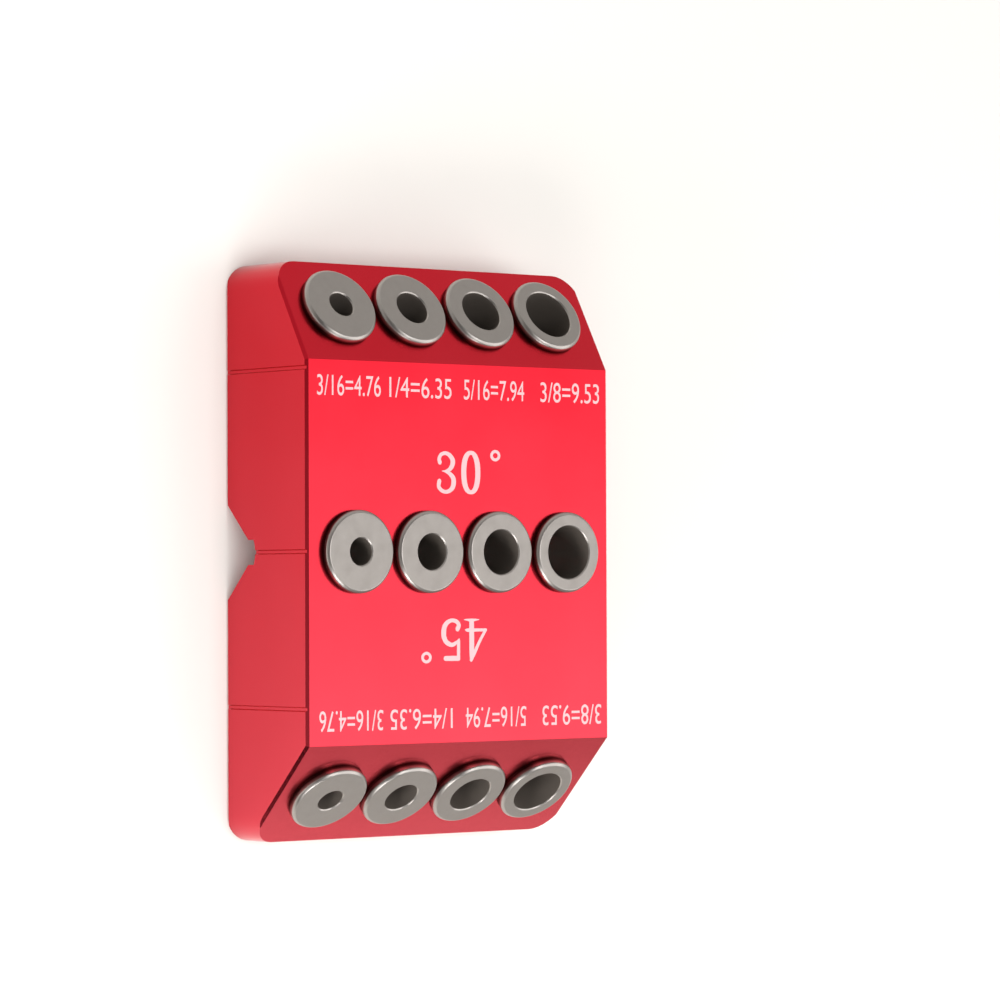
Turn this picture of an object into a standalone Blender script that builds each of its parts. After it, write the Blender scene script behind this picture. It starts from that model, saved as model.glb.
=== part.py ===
"""Angle drill guide: a machined block with three rows of flanged drill bushings.

The base lies on Z = 0, with the origin at its middle, under the upright row. X runs along each
row of bushings and Y along the block, with the 30 degree face at +Y and the 45 degree face at -Y.
"""

import math

import bmesh
import bpy
from mathutils import Matrix, Vector

MM = 0.001
OBJECT_NAME = "angle_drill_guide"

# Drill sizes: 3/16, 1/4, 5/16 and 3/8 inch
BORE_3_16 = 4.7625 * MM
BORE_1_4 = 6.35 * MM
BORE_5_16 = 7.9375 * MM
BORE_3_8 = 9.525 * MM

# Bushings: one blank for all sizes, set by the widest bore
THINNEST_WALL = 1.24 * MM
FLANGE_LIP = 1.3 * MM
FLANGE_THICKNESS = 1.3 * MM
FLANGE_CHAMFER = 0.45 * MM
MOUTH_CHAMFER = 0.35 * MM
LEAD_CHAMFER = 0.5 * MM

# Clearances between a bushing and the block
SEAT_GAP = 0.3 * MM
PRESS_GAP = 0.3 * MM
SLEEVE_END_CLEARANCE = 0.5 * MM

# Row layout
FLANGE_SPACING = 1.1 * MM
SIDE_LAND = 3.4 * MM

# Each sloping row: how far its drills lean from upright, where they leave the base, and the
# lands between its flanges and the top edge of its face and the end of the block
LEAN_30 = math.radians(30)
EXIT_30 = 31.9 * MM
TOP_LAND_30 = 3.4 * MM
END_LAND_30 = 2.1 * MM
LEAN_45 = math.radians(45)
EXIT_45 = 27.3 * MM
TOP_LAND_45 = 5.1 * MM
END_LAND_45 = 3.4 * MM

# Block
HEIGHT = 24.0 * MM
CORNER_RADIUS = 4.8 * MM
EDGE_CHAMFER = 0.5 * MM

# Groove across the base: 90 degrees between its walls, with a relief slot at its root
GROOVE_WIDTH = 17.7 * MM
RELIEF_WIDTH = 4.4 * MM
RELIEF_DEPTH = 1.6 * MM
RELIEF_CROWN = 0.5 * MM

# Index grooves on the side faces, in line with where each row's drills leave the base
INDEX_WIDTH = 0.85 * MM
INDEX_DEPTH = 0.3 * MM

# How far a cutter reaches past the faces that it cuts through
OVERCUT = 2.0 * MM

ROUND_SEGMENTS = 40
CORNER_SEGMENTS = 8
CROWN_SEGMENTS = 6
MERGE = 0.00001
SHARP_ANGLE = math.radians(20)

# The bores from left to right in every row
bores = {"3_16in": BORE_3_16, "1_4in": BORE_1_4, "5_16in": BORE_5_16, "3_8in": BORE_3_8}

# Derived sizes
sleeve_radius = max(bores.values()) / 2 + THINNEST_WALL
flange_radius = sleeve_radius + FLANGE_LIP
pitch = 2 * flange_radius + FLANGE_SPACING
half_width = (len(bores) - 1) / 2 * pitch + flange_radius + SIDE_LAND
groove_depth = (GROOVE_WIDTH - RELIEF_WIDTH) / 2 + RELIEF_DEPTH + RELIEF_CROWN


class Row:
    """Bushings in line, square to a face of the block whose normal leans by one angle."""

    def __init__(self, name, lean, exit_y, down_face):
        self.name = name
        # From upright, positive towards +Y
        self.lean = lean
        self.slope = abs(lean)
        # Where the drills' axes leave the base
        self.exit_y = exit_y
        # From the top edge of the face to the drills' axes, along the face
        self.down_face = down_face
        # How far that top edge is from the middle of the block
        drop = HEIGHT * math.sin(self.slope) - down_face
        self.edge_y = abs(exit_y) + drop / math.cos(self.slope)
        # From the base to the face, along a drill's axis
        out = self.edge_y - abs(exit_y)
        self.depth = out * math.sin(self.slope) + HEIGHT * math.cos(self.slope)

    def origin(self):
        """Middle of the row on the block's face."""
        return Vector((0, self.exit_y + self.depth * math.sin(self.lean),
                       self.depth * math.cos(self.lean)))

    def rotation(self):
        """Turns +Z to point out of the face."""
        return Matrix.Rotation(-self.lean, 4, "X")

    def end_y(self, end_land):
        """How far the end of the block is from its middle, with that land beside the flanges."""
        return self.edge_y + (self.down_face + flange_radius) * math.cos(self.slope) + end_land

    def sleeve_room(self):
        """How deep a square-ended sleeve can go before it shows below the block."""
        return self.depth - sleeve_radius * math.tan(self.slope)


row_30 = Row("30deg", LEAN_30, EXIT_30, flange_radius + TOP_LAND_30)
row_90 = Row("90deg", 0.0, 0.0, 0.0)
row_45 = Row("45deg", -LEAN_45, -EXIT_45, flange_radius + TOP_LAND_45)
rows = (row_30, row_90, row_45)

end_30 = row_30.end_y(END_LAND_30)
end_45 = row_45.end_y(END_LAND_45)
sleeve_length = min(
    row_30.sleeve_room(),
    row_45.sleeve_room(),
    row_90.sleeve_room() - groove_depth,
) - SLEEVE_END_CLEARANCE


def clear_scene():
    for obj in list(bpy.data.objects):
        bpy.data.objects.remove(obj, do_unlink=True)


def make_collection(name):
    collection = bpy.data.collections.new(name)
    bpy.context.scene.collection.children.link(collection)
    return collection


def make_material(name, colour, roughness, metallic):
    material = bpy.data.materials.new(name)
    material.use_nodes = True
    shader = material.node_tree.nodes["Principled BSDF"]
    shader.inputs["Base Color"].default_value = (*colour, 1)
    shader.inputs["Roughness"].default_value = roughness
    shader.inputs["Metallic"].default_value = metallic
    return material


def mesh_object(name, mesh, collection):
    obj = bpy.data.objects.new(name, mesh)
    collection.objects.link(obj)
    return obj


def evaluated_mesh(name, data, modify=None):
    """The mesh that a curve, or a profile with a modifier, makes in the viewport."""
    holder = mesh_object(name, data, bpy.context.scene.collection)
    if modify:
        modify(holder)
    evaluated = holder.evaluated_get(bpy.context.evaluated_depsgraph_get())
    mesh = bpy.data.meshes.new_from_object(evaluated)
    bpy.data.objects.remove(holder)
    return mesh


def shade_round(mesh):
    """Smooth round walls, with the true edges kept sharp."""
    mesh.shade_smooth()
    mesh.set_sharp_from_angle(angle=SHARP_ANGLE)


def arc(centre, radius, start, end, segments):
    """Points on a circle from one angle to another, both ends included."""
    step = (end - start) / segments
    angles = [start + step * i for i in range(segments + 1)]
    return [(centre[0] + radius * math.cos(a), centre[1] + radius * math.sin(a)) for a in angles]


def prism(name, outline, half_thickness, collection, to_world=Matrix()):
    """A flat outline thickened both ways along its own Z, as a closed mesh."""
    curve = bpy.data.curves.new(name, "CURVE")
    curve.dimensions = "2D"
    curve.fill_mode = "BOTH"
    curve.extrude = half_thickness
    spline = curve.splines.new("POLY")
    spline.points.add(len(outline) - 1)
    for point, (x, y) in zip(spline.points, outline):
        point.co = (x, y, 0, 1)
    spline.use_cyclic_u = True

    mesh = evaluated_mesh(name, curve)
    solid = bmesh.new()
    solid.from_mesh(mesh)
    bmesh.ops.remove_doubles(solid, verts=solid.verts, dist=MERGE)
    bmesh.ops.dissolve_limit(solid, angle_limit=0.001, verts=solid.verts, edges=solid.edges)
    solid.transform(to_world)
    solid.to_mesh(mesh)
    solid.free()
    return mesh_object(name, mesh, collection)


def box(name, low, high, collection):
    size = Vector(high) - Vector(low)
    solid = bmesh.new()
    bmesh.ops.create_cube(solid, size=1)
    bmesh.ops.scale(solid, vec=size, verts=solid.verts)
    bmesh.ops.translate(solid, vec=(Vector(low) + Vector(high)) / 2, verts=solid.verts)
    mesh = bpy.data.meshes.new(name)
    solid.to_mesh(mesh)
    solid.free()
    return mesh_object(name, mesh, collection)


def cut(target, cutter, operation="DIFFERENCE"):
    cutter.hide_render = True
    cutter.display_type = "WIRE"
    modifier = target.modifiers.new(cutter.name, "BOOLEAN")
    modifier.operation = operation
    modifier.object = cutter


def side_view():
    """Turns an outline drawn as (Y, Z) upright, with its thickness along X."""
    return Matrix(((0, 0, 1, 0), (1, 0, 0, 0), (0, 1, 0, 0), (0, 0, 0, 1)))


def block_profile():
    """The block seen from its side: base, two ends, two sloping faces and the top."""
    height_30 = HEIGHT - (end_30 - row_30.edge_y) * math.tan(row_30.slope)
    height_45 = HEIGHT - (end_45 - row_45.edge_y) * math.tan(row_45.slope)
    return [
        (-end_45, 0),
        (end_30, 0),
        (end_30, height_30),
        (row_30.edge_y, HEIGHT),
        (-row_45.edge_y, HEIGHT),
        (-end_45, height_45),
    ]


def plan_outline():
    """The block seen from above, with rounded corners."""
    x = half_width - CORNER_RADIUS
    y_30 = end_30 - CORNER_RADIUS
    y_45 = end_45 - CORNER_RADIUS
    quarter = math.pi / 2
    corners = ((x, y_30), (-x, y_30), (-x, -y_45), (x, -y_45))
    outline = []
    for turn, centre in enumerate(corners):
        outline += arc(centre, CORNER_RADIUS, turn * quarter, (turn + 1) * quarter, CORNER_SEGMENTS)
    return outline


def groove_outline():
    """The V-groove and its relief slot, reaching below the base; the slot's roof is an arc."""
    half_mouth = GROOVE_WIDTH / 2
    half_relief = RELIEF_WIDTH / 2
    root = half_mouth - half_relief
    shoulder = root + RELIEF_DEPTH
    radius = (half_relief ** 2 + RELIEF_CROWN ** 2) / (2 * RELIEF_CROWN)
    half_angle = math.asin(half_relief / radius)
    upright = math.pi / 2
    roof = arc((0, shoulder + RELIEF_CROWN - radius), radius,
               upright - half_angle, upright + half_angle, CROWN_SEGMENTS)
    return [
        (-half_mouth - OVERCUT, -OVERCUT),
        (half_mouth + OVERCUT, -OVERCUT),
        (half_relief, root),
        *roof,
        (-half_relief, root),
    ]


def chamfer_side_outlines(obj):
    """Chamfers the edges that outline the two side faces."""
    mesh = obj.data
    weights = mesh.attributes.new("bevel_weight_edge", "FLOAT", "EDGE")
    for edge in mesh.edges:
        ends = [mesh.vertices[i].co.x for i in edge.vertices]
        on_side = all(abs(abs(x) - half_width) < MERGE for x in ends)
        weights.data[edge.index].value = 1.0 if on_side and ends[0] * ends[1] > 0 else 0.0
    bevel = obj.modifiers.new("edge_chamfer", "BEVEL")
    bevel.limit_method = "WEIGHT"
    bevel.width = EDGE_CHAMFER
    bevel.segments = 1


def build_block(parts, cutters):
    block = prism("guide_block", block_profile(), half_width, parts, side_view())
    chamfer_side_outlines(block)

    plan = prism("plan", plan_outline(), HEIGHT / 2 + OVERCUT, cutters,
                 Matrix.Translation((0, 0, HEIGHT / 2)))
    shade_round(plan.data)
    cut(block, plan, "INTERSECT")

    groove = prism("v_groove", groove_outline(), half_width + OVERCUT, cutters, side_view())
    shade_round(groove.data)
    cut(block, groove)

    for row in rows:
        for side in (-1, 1):
            inner = side * (half_width - INDEX_DEPTH)
            outer = side * (half_width + OVERCUT)
            low = (min(inner, outer), row.exit_y - INDEX_WIDTH / 2, -OVERCUT)
            high = (max(inner, outer), row.exit_y + INDEX_WIDTH / 2, HEIGHT + OVERCUT)
            cut(block, box(f"index_{row.name}_{'left' if side < 0 else 'right'}", low, high, cutters))

    for row in rows:
        for size, x in zip(bores, row_positions()):
            cut(block, hole_cutter(f"hole_{row.name}_{size}", row, x, cutters))

    block.data.materials.append(make_material("red_anodised", (0.62, 0.02, 0.035), 0.38, 0.6))
    return block


def row_positions():
    first = -(len(bores) - 1) / 2 * pitch
    return [first + i * pitch for i in range(len(bores))]


def hole_cutter(name, row, x, collection):
    """A through hole square to the row's face, wide enough for the sleeve."""
    radius = sleeve_radius + PRESS_GAP
    reach = row.depth + radius * math.tan(row.slope) + OVERCUT
    solid = bmesh.new()
    bmesh.ops.create_cone(solid, cap_ends=True, segments=ROUND_SEGMENTS,
                          radius1=radius, radius2=radius, depth=reach + OVERCUT)
    bmesh.ops.translate(solid, vec=(x, 0, (OVERCUT - reach) / 2), verts=solid.verts)
    solid.transform(Matrix.Translation(row.origin()) @ row.rotation())
    mesh = bpy.data.meshes.new(name)
    solid.to_mesh(mesh)
    solid.free()
    shade_round(mesh)
    return mesh_object(name, mesh, collection)


def bushing_profile(bore):
    """Half section of a bushing from the bore's mouth outwards; Z = 0 is the block's face."""
    r = bore / 2
    top = SEAT_GAP + FLANGE_THICKNESS
    return [
        (r + MOUTH_CHAMFER, top),
        (flange_radius - FLANGE_CHAMFER, top),
        (flange_radius, top - FLANGE_CHAMFER),
        (flange_radius, SEAT_GAP),
        (sleeve_radius, SEAT_GAP),
        (sleeve_radius, LEAD_CHAMFER - sleeve_length),
        (sleeve_radius - LEAD_CHAMFER, -sleeve_length),
        (r, -sleeve_length),
        (r, top - MOUTH_CHAMFER),
    ]


def turn_profile(obj):
    """Spins a half section once round its Z axis."""
    turn = obj.modifiers.new("turned", "SCREW")
    turn.angle = 2 * math.pi
    turn.steps = ROUND_SEGMENTS
    turn.render_steps = ROUND_SEGMENTS
    turn.use_merge_vertices = True
    turn.merge_threshold = MERGE


def bushing_mesh(size, bore, material):
    name = f"bushing_{size}"
    points = [(x, 0, z) for x, z in bushing_profile(bore)]
    edges = [(i, (i + 1) % len(points)) for i in range(len(points))]
    profile = bpy.data.meshes.new(f"{name}_profile")
    profile.from_pydata(points, edges, [])
    mesh = evaluated_mesh(name, profile, turn_profile)
    mesh.name = name
    mesh.materials.append(material)
    shade_round(mesh)
    return mesh


def build_bushings(parts):
    steel = make_material("hardened_steel", (0.55, 0.53, 0.5), 0.35, 1.0)
    meshes = {size: bushing_mesh(size, bore, steel) for size, bore in bores.items()}
    for row in rows:
        frame = bpy.data.objects.new(f"row_{row.name}", None)
        parts.objects.link(frame)
        frame.matrix_world = Matrix.Translation(row.origin()) @ row.rotation()
        for size, x in zip(bores, row_positions()):
            bushing = mesh_object(f"bushing_{row.name}_{size}", meshes[size], parts)
            bushing.parent = frame
            bushing.location = (x, 0, 0)


def main():
    clear_scene()
    parts = make_collection(OBJECT_NAME)
    cutters = make_collection("cutters")
    build_block(parts, cutters)
    build_bushings(parts)


main()
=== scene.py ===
import math

import bmesh
import bpy
from mathutils import Matrix, Vector


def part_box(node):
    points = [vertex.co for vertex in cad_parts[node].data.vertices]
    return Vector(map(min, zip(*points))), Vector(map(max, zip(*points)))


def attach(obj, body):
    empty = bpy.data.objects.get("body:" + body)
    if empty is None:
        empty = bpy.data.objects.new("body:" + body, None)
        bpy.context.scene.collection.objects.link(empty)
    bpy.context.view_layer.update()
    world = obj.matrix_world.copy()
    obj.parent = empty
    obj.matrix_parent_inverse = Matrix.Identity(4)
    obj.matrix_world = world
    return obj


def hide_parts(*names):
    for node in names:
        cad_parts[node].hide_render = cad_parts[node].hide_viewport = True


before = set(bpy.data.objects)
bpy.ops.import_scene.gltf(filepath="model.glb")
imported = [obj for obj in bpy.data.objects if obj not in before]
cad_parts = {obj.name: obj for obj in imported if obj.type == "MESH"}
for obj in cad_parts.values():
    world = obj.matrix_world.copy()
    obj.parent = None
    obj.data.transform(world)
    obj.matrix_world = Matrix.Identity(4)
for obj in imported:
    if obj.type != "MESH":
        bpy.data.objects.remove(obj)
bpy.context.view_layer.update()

mm = 0.001
noiseRange = {"From Min": 0.3, "From Max": 0.7}     # a noise texture stays within these
print("frame loaded:", len(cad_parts), "nodes")


# Colours are written as sRGB hex and turned to linear here
def linear(hexColour):
    parts = [int(hexColour[i:i + 2], 16) / 255 for i in (1, 3, 5)]
    return (*[p / 12.92 if p <= 0.04045 else ((p + 0.055) / 1.055) ** 2.4 for p in parts], 1)


# Adds one node with its settings; an input is a value, or a socket to link from
def addNode(tree, kind, inputs=None, **settings):
    node = tree.nodes.new(kind)
    for name, value in settings.items():
        setattr(node, name, value)
    for socket, value in (inputs or {}).items():
        if isinstance(value, bpy.types.NodeSocket):
            tree.links.new(value, node.inputs[socket])
        else:
            node.inputs[socket].default_value = value
    return node


# Scale that gives a wave texture the wanted distance between its lines, in mm
def waveScale(spacing):
    return math.pi / 10 / (spacing * mm)


def newMaterial(name):
    material = bpy.data.materials.new(name)
    material.use_nodes = True
    tree = material.node_tree
    return material, tree, tree.nodes["Principled BSDF"]


def addObject(name, data):
    obj = bpy.data.objects.new(name, data)
    bpy.context.scene.collection.objects.link(obj)
    return obj


# Smooth shading that keeps flat faces flat beside their rounded edges
def shadeRounded(obj, sharpDegrees=40):
    obj.data.shade_smooth()
    obj.data.set_sharp_from_angle(angle=math.radians(sharpDegrees))
    weighted = obj.modifiers.new("flatFaces", "WEIGHTED_NORMAL")
    weighted.keep_sharp = True


# Camera: the place and lens that the photograph was taken with
camera = {
    "place": (-0.46216, -0.00671, 0.60457),     # m
    "turn": (0.02453, -0.68141, -0.00484),      # radians about X, Y, Z
    "lens": 150.2,                              # mm on a 36 mm sensor
}


def makeCamera():
    data = bpy.data.cameras.new("camera")
    data.lens = camera["lens"]
    data.sensor_width = 36
    data.clip_start = 0.05
    data.clip_end = 20
    obj = addObject("camera", data)
    obj.location = camera["place"]
    obj.rotation_euler = camera["turn"]
    bpy.context.scene.camera = obj


# Anodised aluminium: milled, blasted to a fine satin, dyed red in the oxide and sealed. The eye gets a
# deep metallic red, a fine grain and faint streaks along the cutter's path; a soft pink bloom towards -Y is
# painted light.
anodised = {
    "dye": "#C60F23",
    "thinDyeAndPaintedLight": "#D23F4D",       # paler colour: patches of thinner dye, and painted light at the -Y end, which the lamp on that side lightens
    "paintedLightFade": (36, -52),          # mm along the block, from the unlit end to the end paled by painted light
    "cloudShare": 0.2,          # how much patches of thinner dye, and not the painted light, decide the colour
    "roughness": 0.22,
    "roughnessSpread": 0.06,
    "coat": 0.12,               # the clear oxide over the dye
    "coatRoughness": 0.15,
    "coatIor": 1.5,
    "grain": 0.3,               # mm; blasting leaves about 0.1 mm, drawn coarser to show
    "grainHeight": 0.004,       # mm
    "streak": 0.5,              # mm between the cutter's streaks
    "streakLength": 14,         # mm
    "streakHeight": 0.004,      # mm
    "cloud": 16,                # mm across a patch of stronger or weaker dye
}


def makeAnodised():
    material, tree, shader = newMaterial("anodised_aluminium_red")
    place = addNode(tree, "ShaderNodeTexCoord").outputs["Object"]
    cloud = addNode(tree, "ShaderNodeTexNoise", {
        "Vector": place, "Scale": 1 / (anodised["cloud"] * mm), "Detail": 3, "Roughness": 0.5})
    along = addNode(tree, "ShaderNodeSeparateXYZ", {"Vector": place}).outputs["Y"]
    # Painted light: the colour pales along the block towards -Y, where the lamp on that side falls
    paintedLightFade = addNode(tree, "ShaderNodeMapRange", {
        "Value": along, "From Min": anodised["paintedLightFade"][0] * mm, "From Max": anodised["paintedLightFade"][1] * mm})
    patchesAndPaintedLight = addNode(tree, "ShaderNodeMix", {
        "Factor": anodised["cloudShare"], "A": paintedLightFade.outputs["Result"], "B": cloud.outputs["Fac"]})
    # Base colour: the dye, paled by random patches and by the painted light towards -Y
    dye = addNode(tree, "ShaderNodeMix", {
        "Factor": patchesAndPaintedLight.outputs["Result"],
        "A": linear(anodised["dye"]), "B": linear(anodised["thinDyeAndPaintedLight"])}, data_type="RGBA")
    thin = 1 / (anodised["streak"] * mm)
    long = 1 / (anodised["streakLength"] * mm)
    stretched = addNode(tree, "ShaderNodeMapping", {"Vector": place, "Scale": (thin, long, thin)})
    streaks = addNode(tree, "ShaderNodeTexNoise", {
        "Vector": stretched.outputs["Vector"], "Scale": 1, "Detail": 4, "Roughness": 0.6})
    grain = addNode(tree, "ShaderNodeTexNoise", {
        "Vector": place, "Scale": 1 / (anodised["grain"] * mm), "Detail": 2, "Roughness": 0.6})
    spread = anodised["roughnessSpread"]
    roughness = addNode(tree, "ShaderNodeMapRange", {
        **noiseRange, "Value": streaks.outputs["Fac"],
        "To Min": anodised["roughness"] - spread / 2, "To Max": anodised["roughness"] + spread / 2})
    streakBump = addNode(tree, "ShaderNodeBump", {
        "Height": streaks.outputs["Fac"], "Distance": anodised["streakHeight"] * mm, "Strength": 1})
    grainBump = addNode(tree, "ShaderNodeBump", {
        "Height": grain.outputs["Fac"], "Distance": anodised["grainHeight"] * mm, "Strength": 1,
        "Normal": streakBump.outputs["Normal"]})
    tree.links.new(dye.outputs["Result"], shader.inputs["Base Color"])
    tree.links.new(roughness.outputs["Result"], shader.inputs["Roughness"])
    tree.links.new(grainBump.outputs["Normal"], shader.inputs["Normal"])
    shader.inputs["Metallic"].default_value = 1
    shader.inputs["Coat Weight"].default_value = anodised["coat"]
    shader.inputs["Coat Roughness"].default_value = anodised["coatRoughness"]
    shader.inputs["Coat IOR"].default_value = anodised["coatIor"]
    return material


# The block takes its form from the frame; here its machined edges are broken
block = {
    "edgeBreak": 0.24,          # mm
    "chamferEdgeBreak": 0.1,    # mm, along the chamfers round the side faces
    "indexEdgeBreak": 0.08,     # mm, along the index lines
    "edgeSegments": 3,
    "sharpDegrees": 20,         # edges turned further than this are broken
    "indexDepth": 0.3,          # mm; the frame's index lines are square channels this deep
    "indexShallower": 0.06,     # mm less than that, once dressed
    "indexSlope": 0.2,          # mm that the foot of a wall lies in from its lip
    "indexNear": 1,             # mm along the side face; points closer than this are of one index line
    "weldReach": 0.001,         # mm
    "flatDegrees": 0.5,         # faces turned less than this to each other become one
    "slopeDegrees": 2,          # the same within a sloping face, whose slivers are a little off
}


# Turns the square index channels into the shallower, sloping ones that a pointed cutter leaves, and
# gives back their faces
def slopeIndexLines(solid):
    halfWidth = max(v.co.x for v in solid.verts)
    top = max(v.co.z for v in solid.verts)
    reach = block["indexDepth"] * mm
    shallower = block["indexShallower"] * mm
    near = block["indexNear"] * mm
    feet = [v for v in solid.verts if abs(abs(v.co.x) - halfWidth + reach) < block["weldReach"] * mm]
    channels = {f for v in feet for f in v.link_faces
                if all(abs(w.co.y - v.co.y) < near for w in f.verts)
                and all(abs(w.co.x) > halfWidth - 1.01 * reach for w in f.verts)}
    middles = {}
    for v in feet:
        line = [w.co.y for w in feet if abs(w.co.y - v.co.y) < near]
        middles[v] = (min(line) + max(line)) / 2
    for v, middle in middles.items():
        v.co.x += math.copysign(shallower, v.co.x)
        if abs(v.co.y - middle) > 0.1 * mm:
            v.co.y -= math.copysign(block["indexSlope"] * mm, v.co.y - middle)
        if v.co.z < reach:
            v.co.z += shallower
        if v.co.z > top - reach:
            v.co.z -= shallower
    return channels


# Divides the two sloping faces, which hold four holes each, without the long thin triangles that would
# show as creases
def divideSlopes(solid):
    # Square to the side faces, and neither level nor upright
    def sloping(face):
        return abs(face.normal.x) < 0.01 and 0.1 < face.normal.z < 0.95

    bmesh.ops.triangulate(solid, faces=[f for f in solid.faces if sloping(f)])
    slopes = [f for f in solid.faces if sloping(f)]
    inner = [e for e in solid.edges
             if all(sloping(f) for f in e.link_faces)
             and e.calc_face_angle(0) < math.radians(block["slopeDegrees"])]
    bmesh.ops.beautify_fill(solid, faces=slopes, edges=inner, method="AREA")


def makeBlock(material):
    solid = bmesh.new()
    solid.from_mesh(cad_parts["guide_block"].data)
    bmesh.ops.remove_doubles(solid, verts=solid.verts, dist=block["weldReach"] * mm)
    bmesh.ops.dissolve_limit(solid, angle_limit=math.radians(block["flatDegrees"]),
                             verts=solid.verts, edges=solid.edges)
    divideSlopes(solid)
    channels = slopeIndexLines(solid)
    solid.normal_update()
    # The chamfers round a side face lie at 45 degrees to it
    chamfers = {f for f in solid.faces
                if abs(abs(f.normal.x) - math.sqrt(0.5)) < 0.01 and abs(f.normal.z) > 0.1}
    weights = solid.edges.layers.float.new("bevel_weight_edge")
    for edge in solid.edges:
        if edge.calc_face_angle(0) > math.radians(block["sharpDegrees"]):
            width = block["edgeBreak"]
            if any(f in chamfers for f in edge.link_faces):
                width = block["chamferEdgeBreak"]
            if any(f in channels for f in edge.link_faces):
                width = block["indexEdgeBreak"]
            edge[weights] = width / block["edgeBreak"]
    mesh = bpy.data.meshes.new("block")
    solid.to_mesh(mesh)
    solid.free()
    mesh.materials.append(material)
    mesh.shade_smooth()
    obj = addObject("block", mesh)
    edges = obj.modifiers.new("edgeBreak", "BEVEL")
    edges.limit_method = "WEIGHT"
    edges.width = block["edgeBreak"] * mm
    edges.segments = block["edgeSegments"]
    obj.modifiers.new("flatFaces", "WEIGHTED_NORMAL")
    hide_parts("guide_block")
    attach(obj, "root")


# Bushing steel: hardened and turned, its end faces then ground. The eye gets a warm mid grey: faces of
# an even satin with faint rings and smoother rims with small highlights. Below the rim the sides are
# darkened with painted shade, where the flange meets the block.
turnedSteel = {
    "colour": "#A8A29D",
    # colour of the painted shade at the flange's foot
    "scale": "#352D28",
    "paintedShadeBelow": (0.3, 0.9),   # mm above the seat; all painted shade below the first, all bright above the second
    "roughness": 0.36,
    "roughnessSpread": 0.06,
    "ring": 0.4,                # mm; the turning feed is about 0.1 mm, drawn coarser to show
    "ringHeight": 0.0012,       # mm
    "mottle": 3,                # mm across a patch left by tempering
}
groundSteel = {
    "colour": "#A49E99",
    "scale": "#6A625C",         # painted shade on the flat faces at and below the seat: the flange's underside and the sleeve's far end
    "paintedShadeBelow": (0.5, 1.2),   # mm above the seat
    "roughness": 0.58,
    "roughnessSpread": 0.08,
    "ring": 0.5,                # mm
    "ringHeight": 0.0015,       # mm
    "mottle": 2,                # mm
}


def makeSteel(name, steel):
    material, tree, shader = newMaterial(name)
    place = addNode(tree, "ShaderNodeTexCoord").outputs["Object"]
    rings = addNode(tree, "ShaderNodeTexWave", {
        "Vector": place, "Scale": waveScale(steel["ring"]), "Distortion": 0.4,
        "Detail": 2, "Detail Scale": 1.5}, wave_type="RINGS", rings_direction="Z")
    mottle = addNode(tree, "ShaderNodeTexNoise", {
        "Vector": place, "Scale": 1 / (steel["mottle"] * mm), "Detail": 4, "Roughness": 0.55})
    spread = steel["roughnessSpread"]
    roughness = addNode(tree, "ShaderNodeMapRange", {
        **noiseRange, "Value": mottle.outputs["Fac"],
        "To Min": steel["roughness"] - spread / 2, "To Max": steel["roughness"] + spread / 2})
    bump = addNode(tree, "ShaderNodeBump", {
        "Height": rings.outputs["Fac"], "Distance": steel["ringHeight"] * mm, "Strength": 1})
    up = addNode(tree, "ShaderNodeSeparateXYZ", {"Vector": place}).outputs["Z"]
    # Painted shade: the colour darkens towards the seat, where the flange meets the block
    paintedShadeMask = addNode(tree, "ShaderNodeMapRange", {
        "Value": up, "From Min": steel["paintedShadeBelow"][0] * mm, "From Max": steel["paintedShadeBelow"][1] * mm})
    colour = addNode(tree, "ShaderNodeMix", {
        "Factor": paintedShadeMask.outputs["Result"],
        "A": linear(steel["scale"]), "B": linear(steel["colour"])}, data_type="RGBA")
    tree.links.new(colour.outputs["Result"], shader.inputs["Base Color"])
    tree.links.new(roughness.outputs["Result"], shader.inputs["Roughness"])
    tree.links.new(bump.outputs["Normal"], shader.inputs["Normal"])
    shader.inputs["Metallic"].default_value = 1
    return material


# Honed bore: the same steel, oiled, with its colour darkened as painted shade for the hollow, so it reads
# nearly black
honedBore = {
    "colour": "#6C645D",
    "roughness": 0.45,
    "metallic": 0.5,            # a film of oil and grey dust lies on it
    "scratch": 0.3,             # mm between the hone's scratches, drawn coarser to show
    "scratchHeight": 0.002,     # mm
}


def makeBore():
    material, tree, shader = newMaterial("bushing_steel_honed")
    place = addNode(tree, "ShaderNodeTexCoord").outputs["Object"]
    scratches = addNode(tree, "ShaderNodeTexNoise", {
        "Vector": place, "Scale": 1 / (honedBore["scratch"] * mm), "Detail": 3})
    bump = addNode(tree, "ShaderNodeBump", {
        "Height": scratches.outputs["Fac"], "Distance": honedBore["scratchHeight"] * mm, "Strength": 1})
    tree.links.new(bump.outputs["Normal"], shader.inputs["Normal"])
    shader.inputs["Base Color"].default_value = linear(honedBore["colour"])
    shader.inputs["Roughness"].default_value = honedBore["roughness"]
    shader.inputs["Metallic"].default_value = honedBore["metallic"]
    return material


# Bushings, pressed in until the flange seats on its face
bushing = {
    "bores": {"3_16in": 4.7625, "1_4in": 6.35, "5_16in": 7.9375, "3_8in": 9.525},   # mm
    "leans": {"30deg": 30, "90deg": 0, "45deg": -45},                                # degrees to +Y
    "pressFit": 0.03,           # mm left between the sleeve and its hole
    "holeGap": 0.3,             # mm between the frame's own sleeve and its hole
    "flangeChamfer": 0.45,      # mm
    "flangeRound": 0.45,        # mm, on both sides of that chamfer
    "mouthChamfer": 0.2,        # mm
    "leadChamfer": 0.5,         # mm
    "edgeBreak": 0.1,           # mm, on the other edges
    "turnSteps": 96,
}


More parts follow.
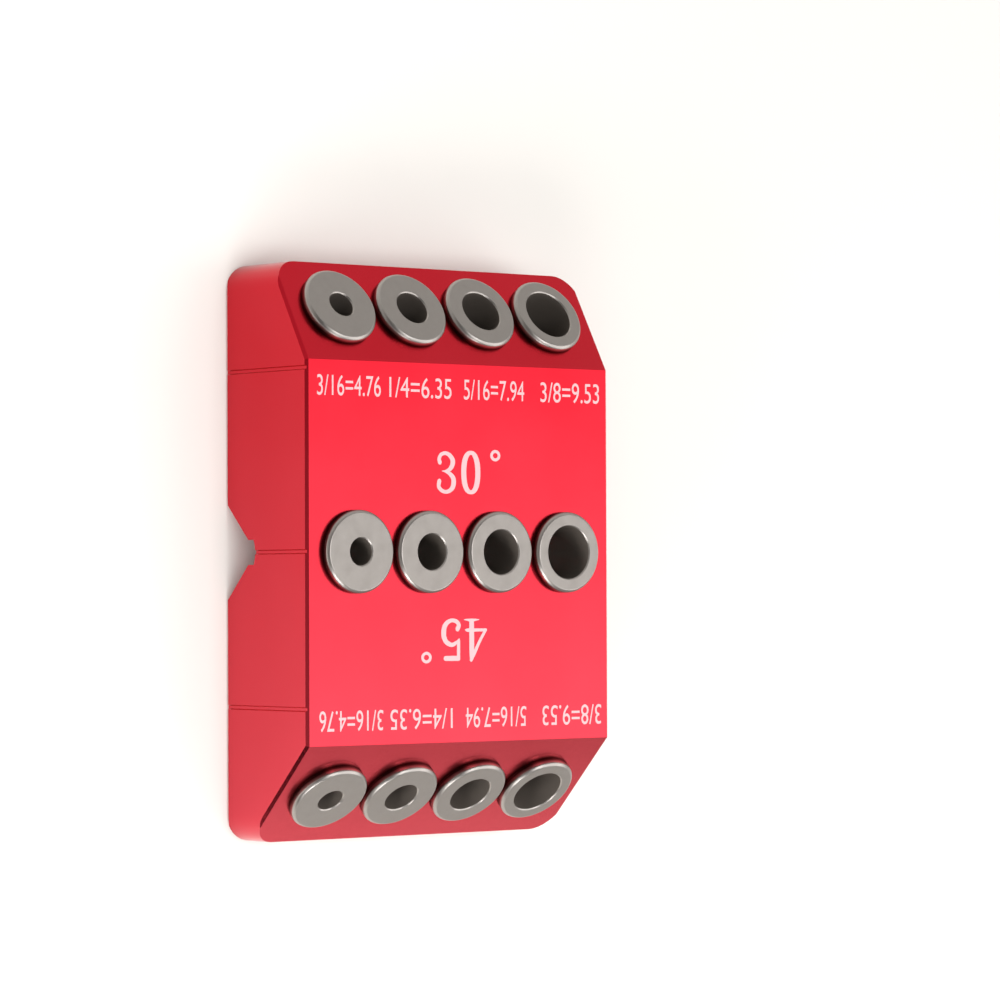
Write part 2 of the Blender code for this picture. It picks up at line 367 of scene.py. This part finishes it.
# Rounds the corners of a closed outline; each point is (across, up, radius)
def roundCorners(outline, segments=4):
    rounded = []
    for i, (x, y, radius) in enumerate(outline):
        corner = Vector((x, y))
        before = (Vector(outline[i - 1][:2]) - corner).normalized()
        after = (Vector(outline[(i + 1) % len(outline)][:2]) - corner).normalized()
        half = before.angle(after) / 2
        reach = radius / math.tan(half)
        centre = corner + (before + after).normalized() * radius / math.sin(half)
        start = corner + before * reach - centre
        end = corner + after * reach - centre
        turn = start.angle_signed(end)
        for step in range(segments + 1):
            angle = -turn * step / segments
            spun = Vector((start.x * math.cos(angle) - start.y * math.sin(angle),
                           start.x * math.sin(angle) + start.y * math.cos(angle)))
            rounded.append(centre + spun)
    return rounded


# Middle of a node's surface, which doesn't depend on how the mesh is divided
def surfaceMiddle(node):
    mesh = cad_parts[node].data
    total = sum(p.area for p in mesh.polygons)
    return sum((p.center * p.area for p in mesh.polygons), Vector()) / total


# Spins the outline about Z; the faces square to the axis are ground, those of the bore are honed
def turnedMesh(name, outline, materials, boreRadius):
    solid = bmesh.new()
    ring = [solid.verts.new((p.x, 0, p.y)) for p in outline]
    edges = [solid.edges.new((ring[i], ring[(i + 1) % len(ring)])) for i in range(len(ring))]
    bmesh.ops.spin(solid, geom=ring + edges, axis=(0, 0, 1), cent=(0, 0, 0),
                   steps=bushing["turnSteps"], angle=2 * math.pi, use_merge=True)
    bmesh.ops.remove_doubles(solid, verts=solid.verts, dist=0.001 * mm)
    bmesh.ops.recalc_face_normals(solid, faces=solid.faces)
    mesh = bpy.data.meshes.new(name)
    solid.to_mesh(mesh)
    solid.free()
    for material in materials:
        mesh.materials.append(material)
    for face in mesh.polygons:
        if abs(face.normal.z) > 0.99:
            face.material_index = 1
        elif all(Vector(mesh.vertices[v].co.xy).length < boreRadius + 0.01 * mm for v in face.vertices):
            face.material_index = 2
    return mesh


def makeBushings(turned, ground, honed):
    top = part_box("guide_block")[1].z
    for size, diameter in bushing["bores"].items():
        low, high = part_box(f"bushing_90deg_{size}")
        flangeRadius = (high.x - low.x) / 2
        flangeTop = high.z - top
        sleeveEnd = low.z - top
        slack = bushing["holeGap"] - bushing["pressFit"]
        sleeveRadius = sleeveRadiusOf(f"bushing_90deg_{size}") + slack * mm
        r = diameter / 2 * mm
        flangeChamfer = bushing["flangeChamfer"] * mm
        mouthChamfer = bushing["mouthChamfer"] * mm
        leadChamfer = bushing["leadChamfer"] * mm
        broken = bushing["edgeBreak"] * mm
        flangeRound = bushing["flangeRound"] * mm
        outline = roundCorners([
            (r + mouthChamfer, flangeTop, broken),
            (flangeRadius - flangeChamfer, flangeTop, flangeRound),
            (flangeRadius, flangeTop - flangeChamfer, flangeRound),
            (flangeRadius, 0, broken),
            (sleeveRadius, 0, broken),
            (sleeveRadius, sleeveEnd + leadChamfer, broken),
            (sleeveRadius - leadChamfer, sleeveEnd, broken),
            (r, sleeveEnd, broken),
            (r, flangeTop - mouthChamfer, broken),
        ])
        mesh = turnedMesh(f"turned_{size}", outline, (turned, ground, honed), r)
        upright = surfaceMiddle(f"bushing_90deg_{size}").z - top
        for row, lean in bushing["leans"].items():
            node = f"bushing_{row}_{size}"
            turn = Matrix.Rotation(-math.radians(lean), 4, "X")
            seat = surfaceMiddle(node) - turn @ Vector((0, 0, upright))
            obj = addObject(f"turned_{row}_{size}", mesh)
            obj.matrix_world = Matrix.Translation(seat) @ turn
            shadeRounded(obj)
            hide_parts(node)
            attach(obj, "root")


# The sleeve's radius, read from the lower half of an upright bushing
def sleeveRadiusOf(node):
    low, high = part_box(node)
    middle = (low + high) / 2
    below = [v.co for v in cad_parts[node].data.vertices if v.co.z < middle.z]
    return max((co.xy - middle.xy).length for co in below)


# Laser marks: the beam bleaches the dye and leaves bare etched oxide. The eye gets a matt pale pink
# line that lies level with the metal.
laserMark = {
    "colour": "#DBB8BA",
    "roughness": 0.6,
    "metallic": 0.35,
    "hatch": 0.25,              # mm; the beam's lines lie about 0.05 mm apart, drawn coarser to show
    "hatchHeight": 0.002,       # mm
}


def makeMark():
    material, tree, shader = newMaterial("laser_etched_oxide")
    place = addNode(tree, "ShaderNodeTexCoord").outputs["Object"]
    hatch = addNode(tree, "ShaderNodeTexWave", {
        "Vector": place, "Scale": waveScale(laserMark["hatch"]), "Distortion": 0.3},
        wave_type="BANDS", bands_direction="DIAGONAL")
    bump = addNode(tree, "ShaderNodeBump", {
        "Height": hatch.outputs["Fac"], "Distance": laserMark["hatchHeight"] * mm, "Strength": 1})
    tree.links.new(bump.outputs["Normal"], shader.inputs["Normal"])
    shader.inputs["Base Color"].default_value = linear(laserMark["colour"])
    shader.inputs["Roughness"].default_value = laserMark["roughness"]
    shader.inputs["Metallic"].default_value = laserMark["metallic"]
    return material


# Strokes of each figure: points along it as (right, up, half width), in mm from its lower left
strokes = {
    "3": [
        [(0.92, 5.80, 0.48), (0.78, 6.42, 0.42), (1.24, 7.16, 0.38), (2.20, 7.42, 0.37), (3.19, 7.02, 0.45),
         (3.82, 6.18, 0.56), (3.74, 5.34, 0.54), (3.16, 4.58, 0.42), (2.26, 4.25, 0.23), (1.35, 4.24, 0.04)],
        [(1.35, 4.24, 0.04), (2.26, 4.14, 0.23), (3.16, 3.77, 0.41), (3.86, 3.11, 0.53), (4.05, 2.40, 0.58),
         (3.83, 1.43, 0.54), (3.18, 0.80, 0.43), (2.26, 0.54, 0.37), (1.30, 0.80, 0.39), (0.66, 1.50, 0.45),
         (0.80, 2.42, 0.48)],
    ],
    "4": [
        [(3.50, 0.80, 0.58), (3.50, 3.00, 0.60), (3.50, 6.30, 0.56), (3.66, 7.30, 0.30)],
        [(0.30, 2.08, 0.32), (1.60, 3.95, 0.33), (2.80, 6.00, 0.38), (3.62, 7.40, 0.36)],
        [(0.32, 2.08, 0.31), (2.00, 2.08, 0.30), (4.20, 2.10, 0.36), (4.95, 2.04, 0.12)],
        [(1.85, 0.22, 0.08), (2.80, 0.28, 0.24), (3.50, 0.40, 0.40), (4.25, 0.28, 0.24), (5.20, 0.22, 0.08)],
    ],
    "5": [
        [(0.85, 7.12, 0.50), (2.40, 7.12, 0.50), (3.70, 7.12, 0.48)],
        [(0.76, 7.20, 0.40), (0.76, 5.60, 0.40), (0.72, 4.10, 0.36), (0.62, 3.75, 0.18)],
        [(0.62, 3.80, 0.14), (1.30, 4.35, 0.34), (2.26, 4.72, 0.42), (3.40, 4.28, 0.50), (4.00, 3.40, 0.58),
         (4.10, 2.48, 0.61), (3.89, 1.47, 0.56), (3.19, 0.70, 0.45), (2.15, 0.38, 0.38), (1.10, 0.66, 0.42),
         (0.68, 1.28, 0.48), (0.98, 1.90, 0.50)],
    ],
}
lineWeight = 0.9        # share of those half widths
zero = {"width": 4.35, "height": 7.75, "side": 1.14, "top": 0.72, "squareness": 2.35}    # mm
degreeRing = {"across": (2.3, 2.04), "hole": (1.12, 0.98)}                               # mm

# Where the figures lie on the top face, in mm: lower left corner for each, and the ring's middle.
# The 45 is turned to read from the other end.
angleMarks = {
    "mark_30deg": {
        "figures": {"3": (-5.87, 10.12), "0": (-0.1, 10.3)},
        "ring": (7.7, 17.28),
        "turned": False,
    },
    "mark_45deg": {
        "figures": {"4": (-5.65, 11.8), "5": (0.1, 11.75)},
        "ring": (8.1, 18.65),
        "turned": True,
    },
}
markHeight = 0.02       # mm above the face


# Points on a smooth curve through the given ones, as (x, y, half width)
def smoothStroke(points, steps=6):
    ends = [points[0], *points, points[-1]]
    smooth = []
    for a, b, c, d in zip(ends, ends[1:], ends[2:], ends[3:]):
        a, b, c, d = (Vector(p) for p in (a, b, c, d))
        for step in range(steps):
            t = step / steps
            smooth.append(0.5 * (2 * b + (c - a) * t + (2 * a - 5 * b + 4 * c - d) * t ** 2
                                 + (3 * b - a - 3 * c + d) * t ** 3))
    return smooth + [Vector(points[-1])]


# An oval; squareness 2 is an ellipse, more is boxier
def oval(centre, across, squareness=2, segments=64):
    points = []
    for i in range(segments):
        angle = 2 * math.pi * (i + 0.5) / segments
        turned = [math.copysign(abs(t) ** (2 / squareness), t) for t in (math.cos(angle), math.sin(angle))]
        points.append(Vector([c + a / 2 * t for c, a, t in zip(centre, across, turned)]))
    return points


# The outline of a stroke, with a round end wherever it is wide
def strokeOutline(points, capSteps=8):
    line = smoothStroke(points)
    left, right = [], []
    for i, p in enumerate(line):
        along = (line[min(i + 1, len(line) - 1)] - line[max(i - 1, 0)]).xy.normalized()
        side = Vector((-along.y, along.x)) * p.z * lineWeight
        left.append(p.xy + side)
        right.append(p.xy - side)
    outline = []
    for flank, corner in ((left, line[-1]), (right[::-1], line[0])):
        outline += flank
        start = flank[-1] - corner.xy
        for step in range(1, capSteps):
            angle = -math.pi * step / capSteps
            outline.append(corner.xy + Vector((start.x * math.cos(angle) - start.y * math.sin(angle),
                                               start.x * math.sin(angle) + start.y * math.cos(angle))))
    return outline


# A thin flat plate from closed outlines in mm; an inner outline is a hole
def plate(name, outlines, low, high):
    curve = bpy.data.curves.new(name, "CURVE")
    curve.dimensions = "2D"
    curve.fill_mode = "BOTH"
    curve.extrude = (high - low) / 2 * mm
    for outline in outlines:
        spline = curve.splines.new("POLY")
        spline.points.add(len(outline) - 1)
        for point, (x, y) in zip(spline.points, outline):
            point.co = (x * mm, y * mm, 0, 1)
        spline.use_cyclic_u = True
    holder = addObject(name, curve)
    mesh = bpy.data.meshes.new_from_object(holder.evaluated_get(bpy.context.evaluated_depsgraph_get()))
    bpy.data.objects.remove(holder)
    mesh.transform(Matrix.Translation((0, 0, (low + high) / 2 * mm)))
    solid = bmesh.new()
    solid.from_mesh(mesh)
    bmesh.ops.remove_doubles(solid, verts=solid.verts, dist=0.0001 * mm)
    bmesh.ops.recalc_face_normals(solid, faces=solid.faces)
    solid.to_mesh(mesh)
    solid.free()
    return addObject(name, mesh)


# Joins overlapping plates into one closed piece
def unite(name, plates):
    base = plates[0]
    for other in plates[1:]:
        join = base.modifiers.new("join", "BOOLEAN")
        join.operation = "UNION"
        join.object = other
    mesh = bpy.data.meshes.new_from_object(base.evaluated_get(bpy.context.evaluated_depsgraph_get()))
    for obj in plates:
        bpy.data.objects.remove(obj)
    mesh.name = name
    return addObject(name, mesh)


def finishMark(obj, material):
    obj.data.materials.clear()
    obj.data.materials.append(material)
    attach(obj, "root")


def makeAngleMarks(material):
    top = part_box("guide_block")[1].z
    for name, mark in angleMarks.items():
        pieces = []
        for figure, (x, y) in mark["figures"].items():
            shift = Vector((x, y))
            if figure == "0":
                middle = shift + Vector((zero["width"], zero["height"])) / 2
                outer = (zero["width"], zero["height"])
                inner = (zero["width"] - 2 * zero["side"], zero["height"] - 2 * zero["top"])
                rings = [oval(middle, outer, zero["squareness"]), oval(middle, inner, 2)]
                pieces.append(plate(figure, rings, 0, markHeight))
            else:
                flat = [plate(figure, [[p + shift for p in strokeOutline(s)]], 0, markHeight)
                        for s in strokes[figure]]
                pieces.append(unite(figure, flat))
        rings = [oval(mark["ring"], degreeRing["across"]), oval(mark["ring"], degreeRing["hole"])]
        pieces.append(plate("ring", rings, 0, markHeight))
        obj = joinMeshes(name, pieces)
        turn = Matrix.Rotation(math.pi if mark["turned"] else 0, 4, "Z")
        obj.data.transform(Matrix.Translation((0, 0, top)) @ turn)
        finishMark(obj, material)


# One object from several that don't overlap
def joinMeshes(name, parts):
    solid = bmesh.new()
    for obj in parts:
        solid.from_mesh(obj.data)
        bpy.data.objects.remove(obj)
    mesh = bpy.data.meshes.new(name)
    solid.to_mesh(mesh)
    solid.free()
    return addObject(name, mesh)


# Size numbers: the inch size and the same in mm, in narrow figures beside each column
sizeMarks = {
    "numbers": ["3/16=4.76", "1/4=6.35", "5/16=7.94", "3/8=9.53"],
    "width": 13.9,              # mm
    "height": 3.6,              # mm
    "rows": {
        "size_numbers_30deg": {"middles": (-25.0, -9.2, 7.5, 25.2), "y": 28.95, "turned": False},
        "size_numbers_45deg": {"middles": (-24.7, -9.2, 7.7, 25.4), "y": -29.45, "turned": True},
    },
}


def makeSizeMarks(material):
    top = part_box("guide_block")[1].z
    for name, row in sizeMarks["rows"].items():
        labels = []
        for text, x in zip(sizeMarks["numbers"], row["middles"]):
            curve = bpy.data.curves.new(text, "FONT")
            curve.body = text
            curve.size = 1
            curve.extrude = 0.5
            holder = addObject(name, curve)
            mesh = bpy.data.meshes.new_from_object(
                holder.evaluated_get(bpy.context.evaluated_depsgraph_get()))
            bpy.data.objects.remove(holder)
            low = Vector([min(v.co[i] for v in mesh.vertices) for i in range(3)])
            high = Vector([max(v.co[i] for v in mesh.vertices) for i in range(3)])
            middle = (low + high) / 2
            scale = (sizeMarks["width"] * mm / (high.x - low.x), sizeMarks["height"] * mm / (high.y - low.y),
                     markHeight * mm / (high.z - low.z))
            turn = Matrix.Rotation(math.pi if row["turned"] else 0, 4, "Z")
            mesh.transform(Matrix.Translation((x * mm, row["y"] * mm, top + markHeight / 2 * mm)) @ turn
                           @ Matrix.Diagonal((*scale, 1)) @ Matrix.Translation(-middle))
            labels.append(addObject(text, mesh))
        finishMark(joinMeshes(name, labels), material)


# Floor: matt board, pressed from paper pulp. The eye gets an even pale sheet without a gloss.
floor = {
    "colour": "#E9E6E1",
    "roughness": 0.7,
    "fibre": 1.1,               # mm
    "fibreHeight": 0.003,       # mm
    "side": 6,                  # m
    "gap": 0.05,                # mm under the block
}


def makeFloor():
    material, tree, shader = newMaterial("matt_board")
    place = addNode(tree, "ShaderNodeTexCoord").outputs["Object"]
    fibre = addNode(tree, "ShaderNodeTexNoise", {
        "Vector": place, "Scale": 1 / (floor["fibre"] * mm), "Detail": 2})
    bump = addNode(tree, "ShaderNodeBump", {
        "Height": fibre.outputs["Fac"], "Distance": floor["fibreHeight"] * mm, "Strength": 1})
    tree.links.new(bump.outputs["Normal"], shader.inputs["Normal"])
    shader.inputs["Base Color"].default_value = linear(floor["colour"])
    shader.inputs["Roughness"].default_value = floor["roughness"]
    solid = bmesh.new()
    bmesh.ops.create_grid(solid, x_segments=1, y_segments=1, size=floor["side"] / 2)
    mesh = bpy.data.meshes.new("floor")
    solid.to_mesh(mesh)
    solid.free()
    mesh.materials.append(material)
    obj = addObject("floor", mesh)
    obj.location.z = -floor["gap"] * mm


# Flag: a card of black wool felt on the floor. The metal alone mirrors it, so that the edges turned
# towards it draw a dark line.
flag = {
    "colour": "#0B0B0B",
    "roughness": 0.95,
    "nap": 1.5,                 # mm
    "napHeight": 0.3,           # mm
    "place": (-0.09, -0.134),   # m
    "size": (0.14, 0.04),       # m, width and height
}


def makeFlag():
    material, tree, shader = newMaterial("black_felt")
    place = addNode(tree, "ShaderNodeTexCoord").outputs["Object"]
    nap = addNode(tree, "ShaderNodeTexNoise", {
        "Vector": place, "Scale": 1 / (flag["nap"] * mm), "Detail": 3})
    bump = addNode(tree, "ShaderNodeBump", {
        "Height": nap.outputs["Fac"], "Distance": flag["napHeight"] * mm, "Strength": 1})
    tree.links.new(bump.outputs["Normal"], shader.inputs["Normal"])
    shader.inputs["Base Color"].default_value = linear(flag["colour"])
    shader.inputs["Roughness"].default_value = flag["roughness"]
    width, height = flag["size"]
    solid = bmesh.new()
    bmesh.ops.create_grid(solid, x_segments=1, y_segments=1, size=0.5)
    bmesh.ops.scale(solid, vec=(width, height, 1), verts=solid.verts)
    mesh = bpy.data.meshes.new("flag")
    solid.to_mesh(mesh)
    solid.free()
    mesh.materials.append(material)
    obj = addObject("flag", mesh)
    obj.location = (*flag["place"], height / 2)
    obj.rotation_euler = Vector((*flag["place"], 0)).to_track_quat("Z", "Y").to_euler()
    obj.visible_camera = False
    obj.visible_diffuse = False
    obj.visible_shadow = False


# Soft boxes: place and size in m, and brightness as the object sees it. One that isn't mirrored lights
# the floor alone, as a lamp behind the metal's mirror angles does.
softBoxes = {
    "keyBox": {"place": (0.42, -0.12, 0.52), "size": (0.55, 0.7), "brightness": 1.9, "mirrored": True},
    "nearBox": {"place": (-0.12, -0.30, 0.22), "size": (0.18, 0.12), "brightness": 8, "mirrored": True},
    "sideStrip": {"place": (-0.6, -0.1, 0.09), "size": (0.6, 0.06), "brightness": 3, "mirrored": True},
    "topStrip": {"place": (0.0, 0.0, 1.0), "size": (0.25, 0.6), "brightness": 6, "mirrored": True},
    "sideBox": {"place": (-0.50, -0.36, 0.16), "size": (0.5, 0.2), "brightness": 10.5, "mirrored": False},
    "topBox": {"place": (-0.3, 0.0, 0.9), "size": (0.5, 0.6), "brightness": 3.6, "mirrored": False},
}
# The room: pale walls up to one height, and a dark ceiling from a little higher on. One side of the room
# is brighter than the other.
surround = {
    "colour": "#FFFDFA",
    "wall": {
        "bright": 0.86,
        "dim": 0.3,
        "brightTowards": 60,    # degrees from +X to +Y
        "degrees": 38,          # up from the floor
    },
    "ceiling": {"brightness": 0.012, "degrees": 46},
}


def makeLights():
    for name, box in softBoxes.items():
        light = bpy.data.lights.new(name, "AREA")
        light.shape = "RECTANGLE"
        light.size, light.size_y = box["size"]
        light.energy = box["brightness"] * math.pi * light.size * light.size_y
        obj = addObject(name, light)
        obj.location = box["place"]
        obj.rotation_euler = Vector(box["place"]).to_track_quat("Z", "Y").to_euler()
        obj.visible_camera = False
        obj.visible_glossy = box["mirrored"]
    world = bpy.data.worlds.new("surround")
    bpy.context.scene.world = world
    world.use_nodes = True
    tree = world.node_tree
    direction = addNode(tree, "ShaderNodeTexCoord").outputs["Generated"]
    wall, ceiling = surround["wall"], surround["ceiling"]
    towards = math.radians(wall["brightTowards"])
    side = addNode(tree, "ShaderNodeVectorMath", {
        0: direction, 1: (math.cos(towards), math.sin(towards), 0)}, operation="DOT_PRODUCT")
    around = addNode(tree, "ShaderNodeMapRange", {
        "Value": side.outputs["Value"], "From Min": -1, "To Min": wall["dim"], "To Max": wall["bright"]})
    up = addNode(tree, "ShaderNodeSeparateXYZ", {"Vector": direction}).outputs["Z"]
    brightness = addNode(tree, "ShaderNodeMapRange", {
        "Value": up, "From Min": math.sin(math.radians(wall["degrees"])),
        "From Max": math.sin(math.radians(ceiling["degrees"])),
        "To Min": around.outputs["Result"], "To Max": ceiling["brightness"]})
    background = tree.nodes["Background"]
    background.inputs["Color"].default_value = linear(surround["colour"])
    tree.links.new(brightness.outputs["Result"], background.inputs["Strength"])


makeCamera()
print("camera set")
makeBlock(makeAnodised())
print("block dressed")
makeBushings(makeSteel("bushing_steel_turned", turnedSteel), makeSteel("bushing_steel_ground", groundSteel),
             makeBore())
print("bushings turned")
markMaterial = makeMark()
makeAngleMarks(markMaterial)
makeSizeMarks(markMaterial)
print("marks laid on the top face")
makeFloor()
makeFlag()
makeLights()
bpy.context.scene.view_settings.view_transform = "Standard"
print("floor and lights set")
